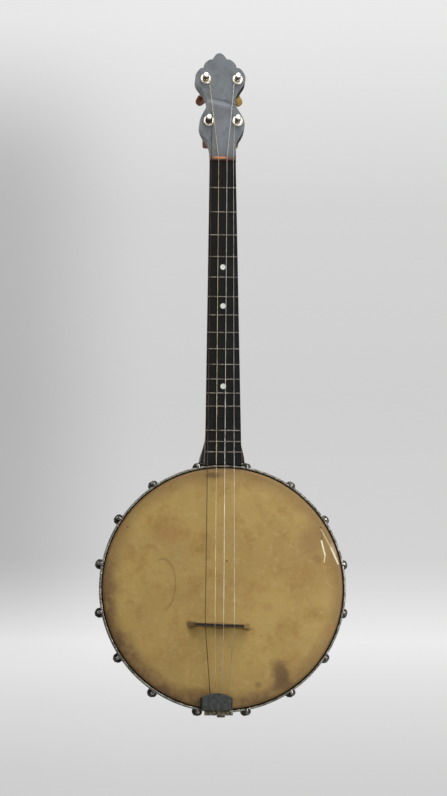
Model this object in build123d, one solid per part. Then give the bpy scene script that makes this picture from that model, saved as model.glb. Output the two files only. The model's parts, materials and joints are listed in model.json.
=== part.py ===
"""Open-back tenor banjo with four strings, built piece by piece in millimetres.

Frame: the origin is the centre of the pot on the rim's back face. +Z runs up the neck, +X is
to the right seen from the front, and -Y is the front, where the head and the strings are.
"""
import os
from math import cos, exp, pi, radians, sin, tan

from build123d import *

os.makedirs("parts", exist_ok=True)

# ---- pot: rim, head and hoops
RIM_R = 136.525                # 10 3/4 in rim
RIM_WALL = 12.7
TONE_ROD_R = 3.2
SKIN = 0.5
HEAD_Y = -62.0                 # playing face of the head
HOOP_IN_R = 137.9
HOOP_OUT_R = 140.3
HOOP_FRONT_Y = -61.0
FLESH_FRONT_Y = -47.9
FLESH_BACK_Y = -45.2

# ---- sixteen hooks and shoes round the rim
BRACKETS = 16
HOOK_R = 1.9
HOOK_SHAFT_AT = 142.9          # radius of the hook's shaft from the pot's axis
HOOK_END_Y = -15.0
CLAW_Y = HOOP_FRONT_Y + 0.7
CLAW_TIP_AT = 139.05
SHOE_FRONT_Y = -43.0
SHOE_BACK_Y = -27.0
SHOE_Y = (SHOE_FRONT_Y + SHOE_BACK_Y) / 2
SHOE_WIDE = 11.0
SHOE_OUT_R = 146.4
SHOE_SCREW_R = 2.0

# ---- neck: the board's top face leans back from the pot
NECK_BACK_DEG = 2.5
BOARD_END_Z = 137.0            # reference height where the board's face is at BOARD_END_Y
BOARD_END_Y = -65.0
BOARD_THICK = 5.0
SCALE = 541.3                  # 21 5/16 in, the length the frets are spaced for
RULE_BACK = 1.9                # the fret rule starts this far down from the nut's edge
NUT_Z = 494.5
NUT_WIDE = 30.0
BOARD_GROWS = 0.0325           # board width gained for each mm away from the nut
NUT_LONG = 4.6
NUT_HIGH = 1.6
FRETS = 17
LOST_FRET = 14                 # its wire has fallen out and only the slot is left
FRET_WIDE = 1.4
FRET_HIGH = 0.9
SLOT_WIDE = 0.6
SLOT_DEEP = 2.2
DOT_R = 3.175
DOT_FRETS = (5, 7, 12)

# ---- neck below the board: shaft, and a heel that swells towards the pot
NECK_DEEP_AT_NUT = 16.5
SHAFT_DEEP = 21.5
HEEL_DEEP = 58.0
HEEL_REACH = 28.0              # how gently the heel's depth dies away up the neck
HEEL_SECTIONS = (-12, -4, 4, 12, 20, 28, 36, 44, 54, 64)
FLARE = 10.0                   # bulge of the heel's cheeks beside the pot
FLARE_FULL_U = 6.0
FLARE_NONE_U = 42.0
ROUND = 2.1                    # power of the neck's oval sections

# ---- headstock, measured from the far side of the nut
HEAD_BACK_DEG = 11.0           # further back than the board
HEAD_LEAN_DEG = 1.0            # the old neck leans a little to the bass side
HEAD_SHIFT = 0.6               # its centre line starts this far to the treble side
HEAD_THICK = 16.0
VENEER = 2.0
FACE_DROP = 2.0                # the face starts this much below the board's face

# ---- friction pegs: name, across, along the headstock, button angle
PEGS = (
    ("bass_low", -15.6, 46.0, 85.0),
    ("bass_high", -17.5, 100.3, 45.0),
    ("treble_high", 20.0, 99.5, 133.0),
    ("treble_low", 18.1, 45.6, 90.0),
)
POST_R = 3.175
POST_HIGH = 13.5
RUNNING = 0.05                 # radial running clearance of a peg in its collar and ferrule
COLLAR_R = 6.7
COLLAR_HIGH = 2.6
FERRULE_LONG = 19.5
BUTTON_GAP = 0.6
BUTTON_LONG = 23.4
BUTTON_HALF_WIDE = 11.0
BUTTON_THICK = 8.0
BUTTON_OVAL = 10.2             # half the length of the button's oval paddle
SOCKET = 15.0                  # depth of the shaft in the button

# ---- strings: name, gauge, x at the nut, at the bridge and at the tailpiece
STRINGS = (
    ("string_bass", 0.90, -13.4, -20.9, -14.5),
    ("string_second", 0.75, -4.9, -10.1, -8.3),
    ("string_third", 0.60, 4.8, -0.3, -1.1),
    ("string_treble", 0.50, 12.2, 12.0, 5.1),
)
WIND_HIGH = 5.2                # height of the windings above the headstock's face
WIND_TURNS = 4

# ---- bridge, floating on the head a little skewed
BRIDGE_X = -4.5
BRIDGE_Z = -42.2
BRIDGE_SKEW_DEG = 2.2
BRIDGE_HIGH = 14.0
BRIDGE_FOOT_HALF = 34.8
BRIDGE_TOP_HALF = 27.3
BRIDGE_FOOT_THICK = 6.8
BRIDGE_TOP_THICK = 2.6
BRIDGE_FOOT_HIGH = 2.4
ARCH_AT = 17.0                 # middle of each arch from the bridge's middle
STRIP_HIGH = 2.6
STRIP_THICK = 2.6

# ---- dowel stick, brace and tail bolt
STICK_WIDE = 20.0
STICK_Y = -29.0
END_BOLT_R = 2.5
STRAP_OUT = -RIM_R - 1.7       # outer face of the tailpiece strap
THUMB_NUT_R = 4.7
THUMB_NUT_END = -146.1

# ---- tailpiece
TAIL_X = -7.6
TAIL_HALF = 18.3
COVER_FRONT_Y = -73.0
COVER_BACK_Y = -66.4
COVER_LOW = -136.9
COVER_HIGH = -122.6
COVER_RISE = 4.2               # the far edge is arched by this much
COVER_BEVEL = 2.2
BAR_LOW = -143.4
BAR_HIGH = -137.3
BAR_FRONT_Y = -63.2
BAR_SLOTS = 6
TONGUE_FRONT_Y = -64.3
STRAP_HALF = 7.0
HINGE_Y = -67.0
HINGE_Z = COVER_LOW + 2.2
HOOK_Z = HINGE_Z + 10.2        # height of the string hooks on the tongue
KNUCKLE_R = 1.9
KNUCKLE_HALF = 5.6
PIN_R = 0.9
SHEET = 1.2

NECK_DEG = radians(NECK_BACK_DEG)
NUT_U = (NUT_Z - BOARD_END_Z) / cos(NECK_DEG)
FACE_DEG = radians(NECK_BACK_DEG + HEAD_BACK_DEG)

# Board plane: x across, y up the neck, z out of the board's face.
BOARD = Plane(
    origin=(0, BOARD_END_Y, BOARD_END_Z),
    x_dir=(1, 0, 0),
    z_dir=(0, -cos(NECK_DEG), sin(NECK_DEG)),
)
LEAN = radians(HEAD_LEAN_DEG)

# Headstock plane: y runs up the headstock, z out of its face.
FACE = Plane(
    origin=BOARD.from_local_coords(Vector(HEAD_SHIFT, NUT_U + NUT_LONG, -FACE_DROP)),
    x_dir=(cos(LEAN), sin(LEAN) * sin(FACE_DEG), sin(LEAN) * cos(FACE_DEG)),
    z_dir=(0, -cos(FACE_DEG), sin(FACE_DEG)),
)


def save(name, shape):
    """Write one node, a solid or a group of separate solids."""
    shape.label = name
    export_step(shape, f"parts/{name}.step")


def turned(points):
    """A solid of revolution about the pot's axis from (radius, depth) points."""
    return revolve(make_face(Polyline(*points, close=True)), Axis.Y)


def disc(radius, y_from, y_to):
    """A cylinder on the pot's axis between two depths."""
    plane = Plane(origin=(0, y_from, 0), x_dir=(1, 0, 0), z_dir=(0, 1, 0))
    return extrude(plane * Circle(radius), y_to - y_from)


def block(x, y, z):
    """A box from three (low, high) pairs."""
    size = [pair[1] - pair[0] for pair in (x, y, z)]
    middle = [(pair[1] + pair[0]) / 2 for pair in (x, y, z)]
    return Pos(*middle) * Box(*size)


def rod(start, end, radius):
    """A round bar between two points."""
    start, end = Vector(*start), Vector(*end)
    plane = Plane(origin=start, z_dir=(end - start))
    return extrude(plane * Circle(radius), (end - start).length)


def round_the_rim(piece):
    """Sixteen copies of a piece that is built at the top of the pot."""
    step = 360 / BRACKETS
    return Compound(children=[Rot(0, step * (k + 0.5), 0) * piece for k in range(BRACKETS)])


def board_width(u):
    """Width of the fingerboard at a distance up the neck."""
    return NUT_WIDE + BOARD_GROWS * (NUT_U - u)


def fret_u(number):
    """Place of a fret up the neck, by the rule of the twelfth root of two."""
    return NUT_U - RULE_BACK - SCALE * (1 - 2 ** (-number / 12))


# ------------------------------------------------------------------ pot

def rim():
    """Laminated wooden rim with holes for the shoe screws, the stick and the tail bolt."""
    front = HEAD_Y + SKIN + 2 * TONE_ROD_R
    inner = RIM_R - RIM_WALL
    body = turned([(inner, front), (RIM_R, front), (RIM_R, 0), (inner, 0)])
    body = chamfer(body.edges().filter_by(GeomType.CIRCLE).group_by(Axis.Y)[-1], 1.0)
    hole = rod((0, SHOE_Y, inner - 2), (0, SHOE_Y, RIM_R + 2), SHOE_SCREW_R + 0.1)
    body -= round_the_rim(hole)
    stick = STICK_WIDE / 2
    body -= block((-stick, stick), (STICK_Y - stick, STICK_Y + stick), (inner - 5, inner + 8))
    body -= rod((0, STICK_Y, inner), (0, STICK_Y, RIM_R + 5), 4.1)
    body -= rod((0, STICK_Y, -RIM_R - 5), (0, STICK_Y, -inner + 5), END_BOLT_R + 0.2)
    return body


def tone_ring():
    """Brass rod bent to a ring on the rim's front edge; the head bears on it."""
    ring_at = RIM_R - TONE_ROD_R
    section = Pos(ring_at, HEAD_Y + SKIN + TONE_ROD_R) * Circle(TONE_ROD_R - 0.01)
    return revolve(section, Axis.Y)


def head_skin():
    """Calfskin head: a flat membrane, a rounded shoulder and a skirt tucked round the hoop."""
    ring_at = RIM_R - TONE_ROD_R
    ring_y = HEAD_Y + SKIN + TONE_ROD_R
    outer = TONE_ROD_R + SKIN
    skirt_y = FLESH_BACK_Y + 0.05
    lip_r = HOOP_OUT_R - 0.5
    quarter = sin(pi / 4)
    edge = [
        Line((0, HEAD_Y), (ring_at, HEAD_Y)),
        ThreePointArc(
            (ring_at, HEAD_Y),
            (ring_at + outer * quarter, ring_y - outer * quarter),
            (ring_at + outer, ring_y),
        ),
        Line((ring_at + outer, ring_y), (ring_at + outer, skirt_y)),
        Line((ring_at + outer, skirt_y), (lip_r, skirt_y)),
        Line((lip_r, skirt_y), (lip_r, skirt_y + SKIN)),
        Line((lip_r, skirt_y + SKIN), (ring_at + TONE_ROD_R, skirt_y + SKIN)),
        Line((ring_at + TONE_ROD_R, skirt_y + SKIN), (ring_at + TONE_ROD_R, ring_y)),
        ThreePointArc(
            (ring_at + TONE_ROD_R, ring_y),
            (ring_at + TONE_ROD_R * quarter, ring_y - TONE_ROD_R * quarter),
            (ring_at, HEAD_Y + SKIN),
        ),
        Line((ring_at, HEAD_Y + SKIN), (0, HEAD_Y + SKIN)),
        Line((0, HEAD_Y + SKIN), (0, HEAD_Y)),
    ]
    return revolve(make_face(edge), Axis.Y)


def flesh_hoop():
    """Square wire hoop that the skin is tucked round."""
    inside = RIM_R + SKIN + 0.1
    outside = HOOP_OUT_R - 0.7
    return turned([
        (inside, FLESH_FRONT_Y), (outside, FLESH_FRONT_Y),
        (outside, FLESH_BACK_Y), (inside, FLESH_BACK_Y),
    ])


def tension_hoop():
    """Nickelled hoop that presses the flesh hoop back, notched for the sixteen claws."""
    bearing_r = RIM_R + SKIN + 0.15
    back = FLESH_FRONT_Y - 0.02
    hoop = turned([
        (HOOP_IN_R, HOOP_FRONT_Y), (HOOP_OUT_R, HOOP_FRONT_Y), (HOOP_OUT_R, back),
        (bearing_r, back), (bearing_r, back - 3.0), (HOOP_IN_R, back - 4.0),
    ])
    front_edges = hoop.edges().filter_by(GeomType.CIRCLE).group_by(Axis.Y)[0]
    hoop = fillet(front_edges, 0.7)
    floor = CLAW_Y + HOOK_R + 0.02
    half = HOOK_R + 0.35
    notch = block((-half, half), (HOOP_FRONT_Y - 1, floor), (CLAW_TIP_AT - 0.15, HOOP_OUT_R + 2))
    return hoop - round_the_rim(notch)


def hook():
    """One round hook: a threaded shaft with its end bent over to a claw."""
    bend = 2.3
    shaft_top = CLAW_Y + bend
    path = [
        Line((0, HOOK_END_Y, HOOK_SHAFT_AT), (0, shaft_top, HOOK_SHAFT_AT)),
        ThreePointArc(
            (0, shaft_top, HOOK_SHAFT_AT),
            (0, shaft_top - bend * sin(pi / 4), HOOK_SHAFT_AT - bend * (1 - cos(pi / 4))),
            (0, CLAW_Y, HOOK_SHAFT_AT - bend),
        ),
        Line((0, CLAW_Y, HOOK_SHAFT_AT - bend), (0, CLAW_Y, CLAW_TIP_AT)),
    ]
    start = Plane(origin=(0, HOOK_END_Y, HOOK_SHAFT_AT), z_dir=(0, -1, 0))
    return sweep(start * Circle(HOOK_R), path=Wire(path))



def shoe():
    """One shoe: a rounded block bolted to the rim, bored for its hook."""
    body = block(
        (-SHOE_WIDE / 2, SHOE_WIDE / 2), (SHOE_FRONT_Y, SHOE_BACK_Y), (RIM_R - 3, SHOE_OUT_R)
    )
    outer_edges = body.edges().filter_by(Axis.Y).group_by(Axis.Z)[-1]
    body = fillet(outer_edges, 4.2)
    body = chamfer(body.faces().filter_by(Axis.Y).edges().filter_by(GeomType.CIRCLE), 0.8)
    side = block(
        (SHOE_WIDE / 2 - 1.3, SHOE_WIDE), (SHOE_Y - 3, SHOE_Y + 3), (RIM_R - 4, SHOE_OUT_R)
    )
    body -= side
    body -= mirror(side, Plane.YZ)
    body -= disc(RIM_R + 0.02, SHOE_FRONT_Y - 1, SHOE_BACK_Y + 1)
    body -= rod((0, SHOE_FRONT_Y - 1, HOOK_SHAFT_AT), (0, SHOE_BACK_Y + 1, HOOK_SHAFT_AT), 2.1)
    body -= rod((0, SHOE_Y, RIM_R - 4), (0, SHOE_Y, RIM_R + 4.1), SHOE_SCREW_R)
    return body


def shoe_screw():
    """One round-headed screw from inside the rim into its shoe."""
    inner = RIM_R - RIM_WALL
    shank = rod((0, SHOE_Y, inner - 1.0), (0, SHOE_Y, RIM_R + 4.0), SHOE_SCREW_R - 0.02)
    head = rod((0, SHOE_Y, inner - 3.2), (0, SHOE_Y, inner - 0.9), 3.9)
    head = fillet(head.edges().group_by(Axis.Z)[0], 1.4)
    slot = block((-5, 5), (SHOE_Y - 0.5, SHOE_Y + 0.5), (inner - 4, inner - 2.2))
    return shank + head - slot


def shoe_washer():
    """One washer under a shoe screw's head."""
    inner = RIM_R - RIM_WALL
    seat = inner - 0.12
    ring = rod((0, SHOE_Y, seat - 0.75), (0, SHOE_Y, seat), 5.0)
    return ring - rod((0, SHOE_Y, seat - 1), (0, SHOE_Y, seat + 1), SHOE_SCREW_R + 0.05)


def tension_nut():
    """One hexagon nut on the back end of a hook."""
    plane = Plane(origin=(0, SHOE_BACK_Y + 0.02, HOOK_SHAFT_AT), x_dir=(1, 0, 0), z_dir=(0, 1, 0))
    nut = extrude(plane * RegularPolygon(4.0, 6, major_radius=False), 8.0)
    crown = extrude(plane * Circle(4.5), 8.0)
    crown = chamfer(crown.edges().group_by(Axis.Y)[-1], 1.0)
    nut = nut & crown
    return nut - rod((0, SHOE_BACK_Y - 1, HOOK_SHAFT_AT), (0, -10, HOOK_SHAFT_AT), HOOK_R + 0.02)


# ----------------------------------------------------------------- neck

def under_board(u, wide, deep, power, flare=0.0):
    """Closed neck section below the board: half an oval, squarer as power grows."""
    steps = 12
    points = []
    for k in range(steps + 1):
        angle = pi * k / steps
        side = 1 if cos(angle) > 0 else -1
        across = wide / 2 * side * abs(cos(angle)) ** (2 / power) + flare * sin(2 * angle)
        points.append((across, -BOARD_THICK - (deep - BOARD_THICK) * abs(sin(angle)) ** (2 / power)))
    plane = Plane(
        origin=BOARD.from_local_coords(Vector(0, u, 0)),
        x_dir=(1, 0, 0),
        z_dir=(0, -sin(NECK_DEG), -cos(NECK_DEG)),
    )
    spline = Spline(*points, tangents=[(0, -1), (0, 1)])
    return plane * make_face([spline, Line(points[-1], points[0])])


def heel_section(u):
    """One section of the heel, deeper and fuller in the cheeks towards the pot."""
    deep = SHAFT_DEEP + (HEEL_DEEP - SHAFT_DEEP) * exp(-(max(u, 0.0) / HEEL_REACH) ** 2)
    share = min(1.0, max(0.0, (FLARE_NONE_U - u) / (FLARE_NONE_U - FLARE_FULL_U)))
    flare = FLARE * share * share * (3 - 2 * share)
    return under_board(u, board_width(u), deep, ROUND, flare)


def neck_body():
    """Neck shaft, heel and the squarer stretch that runs into the headstock."""
    heel = loft([heel_section(u) for u in HEEL_SECTIONS])
    neck_end = NUT_U - 12.0
    shaft = loft([
        heel_section(HEEL_SECTIONS[-1]),
        under_board(neck_end, board_width(neck_end), NECK_DEEP_AT_NUT, ROUND),
    ])
    throat = loft([
        under_board(neck_end, board_width(neck_end), NECK_DEEP_AT_NUT, ROUND),
        under_board(NUT_U + NUT_LONG, NUT_WIDE - 0.1, NECK_DEEP_AT_NUT + 1.5, 3.4),
    ])
    return heel + shaft + throat


def head_outline():
    """Fiddle-shaped headstock with a five-lobed crown, on the headstock's face plane."""
    right = [
        Line((15.0, -4.5), (15.0, 6.2)),
        Spline(
            (15.0, 6.2), (16.7, 19.4), (22.5, 29.7), (26.4, 41.0), (23.5, 53.3),
            (17.7, 64.1), (16.8, 72.1),
            tangents=[(0, 1), (0, 1)],
        ),
        Spline(
            (16.8, 72.1), (18.9, 80.6), (24.1, 89.1), (28.8, 97.1), (28.5, 107.0),
            (24.5, 113.2), (19.5, 115.3),
            tangents=[(0, 1), (-1, 0.1)],
        ),
        Spline(
            (19.5, 115.3), (17.3, 121.3), (13.3, 125.1), (8.1, 126.5),
            tangents=[(-0.1, 1), (-1, 0.05)],
        ),
        Spline(
            (8.1, 126.5), (5.6, 130.7), (0.0, 134.4),
            tangents=[(-0.35, 1), (-1, 0)],
        ),
    ]
    edges = right + [edge.mirror(Plane.YZ) for edge in right]
    return make_face(edges + [Line((-15.0, -4.5), (15.0, -4.5))])


def on_face(shape):
    """Place a shape that is built in the headstock's own plane."""
    return FACE * shape


def neck():
    """Neck, heel and headstock in one piece of ebonised wood, relieved for the near brackets."""
    core = on_face(extrude(Pos(0, 0, -HEAD_THICK) * head_outline(), HEAD_THICK - VENEER))
    seat = BOARD * block((-30, 30), (NUT_U - 60, NUT_U + NUT_LONG), (-BOARD_THICK, 20))
    body = neck_body() + (core - seat)
    for _, across, along, _ in PEGS:
        hole = Pos(across, along, -HEAD_THICK / 2) * Cylinder(POST_R + 0.5, HEAD_THICK + 4)
        body -= on_face(hole)
    body -= disc(RIM_R + 0.01, -44.0, 5.0)
    body -= disc(HOOP_OUT_R + 0.5, -80.0, -44.0)
    beside = SHOE_WIDE / 2 + 0.5
    pocket = block((-beside, beside), (-80.0, -10.0), (RIM_R - 3, SHOE_OUT_R + 0.5))
    for turn in (-0.5, 0.5):
        body -= Rot(0, 360 / BRACKETS * turn, 0) * pocket
    body -= rod((0, STICK_Y, 120.0), (0, STICK_Y, RIM_R + 22.0), 4.0)
    return body


def veneer():
    """Thin facing on the front of the headstock."""
    face = on_face(extrude(Pos(0, 0, -VENEER) * head_outline(), VENEER))
    behind = (NUT_U - 60, NUT_U + NUT_LONG + 0.02)
    face -= BOARD * block((-30, 30), behind, (-BOARD_THICK - 20, 20))
    for _, across, along, _ in PEGS:
        face -= on_face(Pos(across, along, 0) * Cylinder(POST_R + 0.5, 10))
    return face


def board_outline(low, high):
    """The board's tapered outline between two distances up the neck."""
    corners = [
        (-board_width(low) / 2, low), (board_width(low) / 2, low),
        (board_width(high) / 2, high), (-board_width(high) / 2, high),
    ]
    return make_face(Polyline(*corners, close=True))


def fingerboard():
    """Ebonised fingerboard with its fret slots and dot pockets."""
    board = extrude(Pos(0, 0, -BOARD_THICK) * board_outline(-8.0, NUT_U - 0.01), BOARD_THICK)
    for number in range(1, FRETS + 1):
        u = fret_u(number)
        board -= block((-30, 30), (u - SLOT_WIDE / 2, u + SLOT_WIDE / 2), (-SLOT_DEEP, 1))
    for number in DOT_FRETS:
        u = (fret_u(number) + fret_u(number - 1)) / 2
        board -= Pos(0, u, 0) * Cylinder(DOT_R, 3.0)
    return BOARD * board - disc(HOOP_OUT_R + 0.7, -80.0, -40.0)


def frets():
    """Sixteen fret wires, each a low crown on a tang."""
    wires = []
    for number in range(1, FRETS + 1):
        if number == LOST_FRET:
            continue
        u = fret_u(number)
        long = board_width(u) + (1.0 if number == FRETS else -0.3)
        crown = Pos(0, u, 0) * extrude(
            Plane.YZ * make_face([
                ThreePointArc((-FRET_WIDE / 2, 0.02), (0, FRET_HIGH), (FRET_WIDE / 2, 0.02)),
                Line((FRET_WIDE / 2, 0.02), (-FRET_WIDE / 2, 0.02)),
            ]),
            long / 2, both=True,
        )
        half = SLOT_WIDE / 2 - 0.02
        tang = block((-long / 2 + 1, long / 2 - 1), (u - half, u + half), (-SLOT_DEEP + 0.1, 0.1))
        wires.append(BOARD * (crown + tang))
    return Compound(children=wires)


def dots():
    """Three pearl dots, flush with the board."""
    discs = []
    for number in DOT_FRETS:
        u = (fret_u(number) + fret_u(number - 1)) / 2
        discs.append(BOARD * (Pos(0, u, -0.73) * Cylinder(DOT_R - 0.03, 1.5)))
    return Compound(children=discs)


def nut():
    """Slotted nut between the board and the headstock."""
    low, high = NUT_U, NUT_U + NUT_LONG
    body = block(
        (-NUT_WIDE / 2, NUT_WIDE / 2), (low + 0.01, high), (-BOARD_THICK + 0.01, NUT_HIGH + 0.5)
    )
    body = fillet(body.edges().filter_by(Axis.X).group_by(Axis.Z)[-1], 1.2)
    for _, gauge, x, _, _ in STRINGS:
        slot = gauge / 2 + 0.15
        floor = NUT_HIGH - slot - 0.3
        body -= block((x - slot, x + slot), (low - 1, high + 1), (floor, NUT_HIGH + 3))
    return BOARD * body


# ------------------------------------------------------- stick and tail

def dowel_stick():
    """Square stick from the heel across the pot, with a round tenon in the heel."""
    inner = RIM_R - RIM_WALL
    half = STICK_WIDE / 2
    plane = Plane(origin=(0, STICK_Y, inner + 7.9), x_dir=(1, 0, 0), z_dir=(0, 0, -1))
    far = Plane(origin=(0, STICK_Y, -inner + 0.6), x_dir=(1, 0, 0), z_dir=(0, 0, -1))
    big = plane * Rectangle(STICK_WIDE - 0.1, STICK_WIDE - 0.1)
    small = far * Rectangle(STICK_WIDE - 4, STICK_WIDE - 4)
    stick = loft([big, small])
    inside = disc(inner - 0.05, STICK_Y - half - 5, STICK_Y + half + 5)
    shoulder = block((-half, half), (STICK_Y - half, STICK_Y + half), (0, inner + 7.9))
    stick &= inside + shoulder
    stick += rod((0, STICK_Y, inner + 5), (0, STICK_Y, RIM_R + 21.9), 3.9)
    stick -= rod((0, STICK_Y, -inner - 5), (0, STICK_Y, -inner + 25.05), END_BOLT_R)
    wedge = block((-20, 20), (STICK_Y - 4, STICK_Y + 4), (inner - 24, inner - 19.9))
    return stick - wedge


def neck_brace():
    """Brass clamp plate inside the rim, astride the stick, that draws the heel to the rim."""
    inner = RIM_R - RIM_WALL
    plate = block((-19, 19), (STICK_Y - 14, STICK_Y + 14), (inner - 20, inner + 1))
    plate &= disc(inner - 0.05, -60, 0) - disc(inner - 3.0, -60, 0)
    hole = STICK_WIDE / 2 + 0.05
    return plate - block((-hole, hole), (STICK_Y - hole, STICK_Y + hole), (inner - 30, inner + 5))


def brace_wedge():
    """Wooden wedge through the stick that bears on the brace."""
    inner = RIM_R - RIM_WALL
    low = inner - 23.9
    wedge = block((-18, 18), (STICK_Y - 3.95, STICK_Y + 3.95), (low, low + 3.9))
    return wedge


def end_bolt():
    """Threaded bolt from the stick's end through the rim and the tailpiece strap."""
    inner = RIM_R - RIM_WALL
    return rod((0, STICK_Y, -inner + 24.9), (0, STICK_Y, THUMB_NUT_END + 1.2), END_BOLT_R - 0.03)



def end_nut():
    """Round thumb nut that holds the tailpiece strap to the rim."""
    body = rod((0, STICK_Y, STRAP_OUT - 0.02), (0, STICK_Y, THUMB_NUT_END), THUMB_NUT_R)
    body = chamfer(body.edges().group_by(Axis.Z)[0], 0.9)
    return body - rod((0, STICK_Y, STRAP_OUT + 1), (0, STICK_Y, THUMB_NUT_END - 1), END_BOLT_R)


def tail_base():
    """Tailpiece frame: strap on the rim, step over the hoop, pocketed bar, tongue and hooks."""
    over_hoop = -HOOP_OUT_R - 0.6
    strap_x = (-STRAP_HALF, STRAP_HALF)
    frame = block(strap_x, (-41.0, STICK_Y + 8), (STRAP_OUT, -RIM_R - 0.1))
    frame += block(strap_x, (-42.5, -41.0), (over_hoop - SHEET, -RIM_R - 0.1))
    frame += block(strap_x, (BAR_FRONT_Y + 1.2, -41.0), (over_hoop - SHEET, over_hoop))
    bar_x = (TAIL_X - 13.4, TAIL_X + 19.0)
    bar = block(bar_x, (BAR_FRONT_Y, HOOP_FRONT_Y - 0.2), (BAR_LOW, BAR_HIGH))
    for k in range(BAR_SLOTS):
        x = TAIL_X - 9.7 + 5.0 * k
        pocket_y = (BAR_FRONT_Y - 1, BAR_FRONT_Y + 1.5)
        bar -= block((x - 1.1, x + 1.1), pocket_y, (BAR_LOW + 1.6, BAR_HIGH - 2.0))
    frame += bar
    link_x = (TAIL_X - 13.6, TAIL_X + 14.6)
    frame += block(link_x, (TONGUE_FRONT_Y, TONGUE_FRONT_Y + 2.4), (BAR_HIGH - 0.5, HINGE_Z - 1.5))
    tongue_x = (TAIL_X - 14.6, TAIL_X + 14.6)
    tongue_z = (HINGE_Z - 1.5, COVER_HIGH + 0.3)
    frame += block(tongue_x, (TONGUE_FRONT_Y, TONGUE_FRONT_Y + 1.3), tongue_z)
    low, high = TAIL_X - KNUCKLE_HALF, TAIL_X + KNUCKLE_HALF
    frame += block((low, high), (HINGE_Y, -63.5), (HINGE_Z - KNUCKLE_R, HINGE_Z + KNUCKLE_R))
    frame += rod((low, HINGE_Y, HINGE_Z), (high, HINGE_Y, HINGE_Z), KNUCKLE_R)
    for _, gauge, _, _, x in STRINGS:
        frame += rod((x, -63.5, HOOK_Z), (x, -67.6, HOOK_Z - 1.1), 0.8)
        frame += Pos(x, -67.6, HOOK_Z - 1.1) * Sphere(1.1)
    frame -= rod((-40, HINGE_Y, HINGE_Z), (30, HINGE_Y, HINGE_Z), PIN_R)
    return frame - rod((0, STICK_Y, -RIM_R + 5), (0, STICK_Y, -160), END_BOLT_R + 0.1)


def hinge_pin():
    """Pin of the cover's hinge, fixed in the frame's middle knuckle."""
    low, high = TAIL_X - TAIL_HALF + 1.2, TAIL_X + TAIL_HALF - 1.2
    return rod((low, HINGE_Y, HINGE_Z), (high, HINGE_Y, HINGE_Z), PIN_R)


def arched(half, low, high, rise):
    """Outline of the cover seen from the front: square at the hinge, arched at the far edge."""
    return make_face([
        Line((-half, low), (half, low)),
        Line((half, low), (half, high)),
        ThreePointArc((half, high), (0, high + rise), (-half, high)),
        Line((-half, high), (-half, low)),
    ])


def cover_shell(inset, y_front, y_back):
    """Solid of the cover's outside, or of its hollow when inset by the sheet."""
    front = Plane(origin=(TAIL_X, y_front, 0), x_dir=(1, 0, 0), z_dir=(0, -1, 0))
    back = Plane(origin=(TAIL_X, y_back, 0), x_dir=(1, 0, 0), z_dir=(0, -1, 0))
    small = arched(TAIL_HALF - COVER_BEVEL - inset, COVER_LOW + inset, COVER_HIGH, COVER_RISE)
    large = arched(TAIL_HALF - inset, COVER_LOW + inset, COVER_HIGH, COVER_RISE)
    return loft([back * large, front * small])


def tail_cover():
    """Hinged cover: a shallow box with sloping sides, open towards the strings."""
    body = cover_shell(0.0, COVER_FRONT_Y, COVER_BACK_Y)
    body -= cover_shell(SHEET, COVER_FRONT_Y + SHEET, COVER_BACK_Y + 0.5)
    inside_y = (COVER_FRONT_Y + SHEET, COVER_BACK_Y + 1)
    body -= block((-60, 60), inside_y, (COVER_HIGH - 0.8, COVER_HIGH + 20))
    gap_y = (COVER_FRONT_Y + 3.2, COVER_BACK_Y + 1)
    body -= block((TAIL_X - 13, TAIL_X + 13), gap_y, (COVER_LOW - 1, HINGE_Z + 2.4))
    reach = TAIL_HALF - 1.0
    barrel = rod((TAIL_X - reach, HINGE_Y, HINGE_Z), (TAIL_X + reach, HINGE_Y, HINGE_Z), KNUCKLE_R)
    between = KNUCKLE_HALF + 0.6
    body += barrel - block((TAIL_X - between, TAIL_X + between), (-80, -50), (-160, -120))
    web_y = (COVER_FRONT_Y + 1.1, HINGE_Y)
    web_z = (HINGE_Z - 1.9, HINGE_Z - 0.7)
    body += block((TAIL_X - reach, TAIL_X - 8), web_y, web_z)
    body += block((TAIL_X + 8, TAIL_X + reach), web_y, web_z)
    return body - rod((-40, HINGE_Y, HINGE_Z), (30, HINGE_Y, HINGE_Z), PIN_R + RUNNING)


# ------------------------------------------------------ bridge, strings

def bridge_plane():
    """Upright plane of the bridge, skewed on the head; local y points out of the head."""
    skew = radians(BRIDGE_SKEW_DEG)
    return Plane(
        origin=(BRIDGE_X, HEAD_Y - 0.02, BRIDGE_Z),
        x_dir=(cos(skew), 0, -sin(skew)),
        z_dir=(-sin(skew), 0, -cos(skew)),
    )


def bridge():
    """Maple bridge with three feet and two arches, thinner towards its top."""
    top = BRIDGE_HIGH - STRIP_HIGH
    foot, shoulder = BRIDGE_FOOT_HALF, BRIDGE_TOP_HALF
    curve = Spline(
        (foot, 2.6), (shoulder + 1.5, top - 3.2), (shoulder, top), tangents=[(-0.9, 0.5), (0, 1)]
    )
    right = [Line((foot, 0), (foot, 2.6)), curve, Line((shoulder, top), (0, top))]
    outline = right + [edge.mirror(Plane.YZ) for edge in right] + [Line((-foot, 0), (foot, 0))]
    thick, thin = BRIDGE_FOOT_THICK / 2, BRIDGE_TOP_THICK / 2
    plate = extrude(make_face(outline), thick, both=True)
    for side in (-1, 1):
        plate -= extrude(Pos(side * ARCH_AT, 0) * Ellipse(13.0, 6.4), 6, both=True)
    beyond = top + 0.1
    wedge = Polyline(
        (thick, 0), (thick, BRIDGE_FOOT_HIGH), (thin, beyond), (5, beyond), (5, 0), close=True
    )
    cutter = extrude(Plane.ZY * make_face(wedge), 50, both=True)
    plate -= cutter
    plate -= mirror(cutter, Plane.XY)
    return bridge_plane() * plate


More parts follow.
